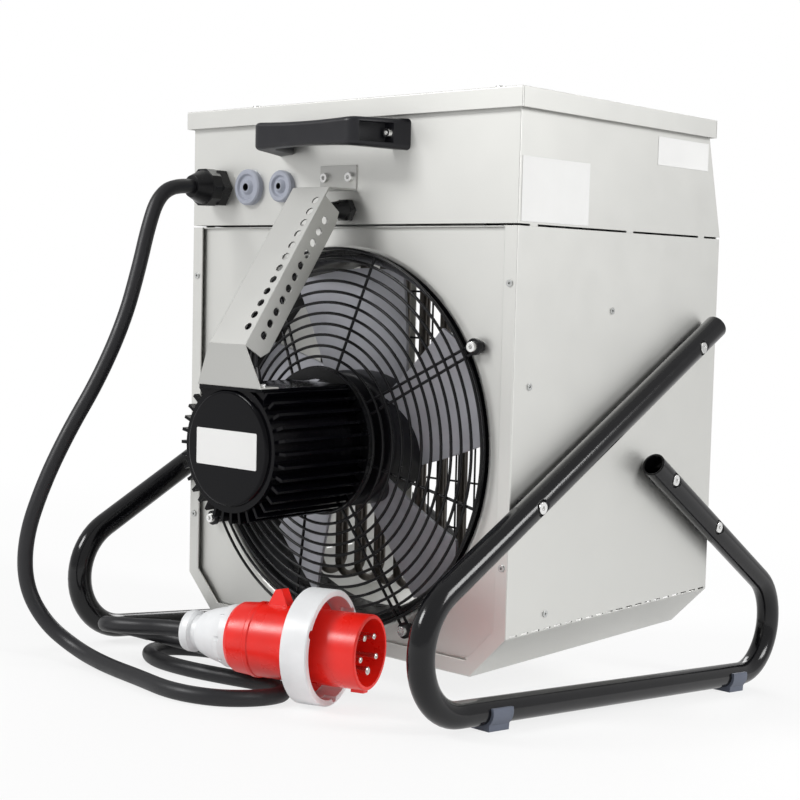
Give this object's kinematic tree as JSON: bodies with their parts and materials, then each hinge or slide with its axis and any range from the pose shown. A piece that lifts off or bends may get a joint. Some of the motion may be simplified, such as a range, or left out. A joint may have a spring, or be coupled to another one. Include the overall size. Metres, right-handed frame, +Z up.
{
  "type": "forced air heater",
  "caption": "Portable electric fan heater in a stainless casing, on a bent tube stand, with guarded fan and motor outside, heating elements inside and a corded plug",
  "frame": {"origin": "centre of the footprint on the floor, without the cord and its plug", "axes": "+Z up, +Y the way the warm air leaves, +X to the right seen from the fan side; the casing is pitched up 6 degrees at its outlet"},
  "size_m": [0.511, 0.7427, 0.6228],
  "materials": {
    "stainless": "light satin sheet",
    "bright_screw": "bright",
    "black_paint": "gloss powder coat",
    "black_wire": "satin coat",
    "motor_black": "gloss",
    "black_plastic": "fine satin",
    "slate_plastic": "satin",
    "blade_grey": "satin",
    "grommet_grey": "matte",
    "cable_rubber": "satin",
    "element_steel": "satin",
    "plug_red": "satin",
    "plug_white": "satin",
    "pin_metal": "bright",
    "label_white": "paper film",
    "iron_core": "laminated",
    "shaft_steel": "ground",
    "switch_plastic": "satin",
    "zinc_rail": "zinc plated"
  },
  "bodies": {
    "heater": {"lower_casing": "stainless", "fan_plate": "stainless", "upper_section": "stainless", "partition_plate": "stainless", "lid": "stainless", "control_panel": "stainless", "cable_duct": "stainless", "element_support": "stainless", "casing_rivets": "stainless", "lid_screws": "bright_screw", "handle_screws": "bright_screw", "duct_screws": "bright_screw", "guard_screws": "bright_screw", "stand_screws": "bright_screw", "nozzle_ring": "black_wire", "fan_guard": "black_wire", "outlet_guard": "black_wire", "stand_left": "black_paint", "stand_right": "black_paint", "motor_housing": "motor_black", "motor_end_cap": "motor_black", "terminal_cover": "motor_black", "motor_label": "label_white", "rating_labels": "label_white", "motor_stator": "iron_core", "motor_bearings": "shaft_steel", "handle": "black_plastic", "cable_gland": "black_plastic", "gland_nut": "black_plastic", "grommet_large": "grommet_grey", "grommet_small": "grommet_grey", "motor_cable": "cable_rubber", "motor_cable_glands": "black_plastic", "heating_elements": "element_steel", "element_bushes": "bright_screw", "selector_switch": "switch_plastic", "thermostat": "switch_plastic", "overheat_cutout": "black_plastic", "terminal_block": "switch_plastic", "mounting_rail": "zinc_rail", "contactors": "switch_plastic", "stand_spacers": "black_plastic", "stand_feet": "slate_plastic", "mains_cord": "cable_rubber", "plug_gland_nut": "plug_white", "plug_body": "plug_red", "plug_insert": "plug_red", "plug_pins": "pin_metal"},
    "impeller": {"motor_shaft": "shaft_steel", "motor_rotor": "iron_core", "fan_hub": "black_plastic", "fan_blades": "blade_grey"},
    "selector": {"selector_knob": "black_plastic"},
    "thermostat_dial": {"thermostat_knob": "black_plastic"},
    "reset": {"reset_button": "plug_red"},
    "plug_lock": {"plug_collar": "plug_white"}
  },
  "joints": [
    {"name": "fan_spin", "type": "hinge", "parent": "heater", "child": "impeller", "pos_m": [0, -0.14876, 0.24797], "axis": [0, 0.9945, 0.1045], "continuous": true},
    {"name": "selector_turn", "type": "hinge", "parent": "heater", "child": "selector", "pos_m": [-0.11, 0.13789, 0.55737], "axis": [0, 0.9303, 0.3667], "range_deg": [-120, 0]},
    {"name": "thermostat_turn", "type": "hinge", "parent": "heater", "child": "thermostat_dial", "pos_m": [-0.02, 0.13789, 0.55737], "axis": [0, 0.9303, 0.3667], "range_deg": [-135, 135]},
    {"name": "reset_press", "type": "slide", "parent": "heater", "child": "reset", "axis": [0, -0.9303, -0.3667], "range_m": [0, 0.003], "stiffness_N_per_m": 300},
    {"name": "plug_lock_turn", "type": "hinge", "parent": "heater", "child": "plug_lock", "pos_m": [0.1, -0.27733, 0.055], "axis": [0.9586, 0.2815, 0.0421], "range_deg": [0, 40]}
  ]
}
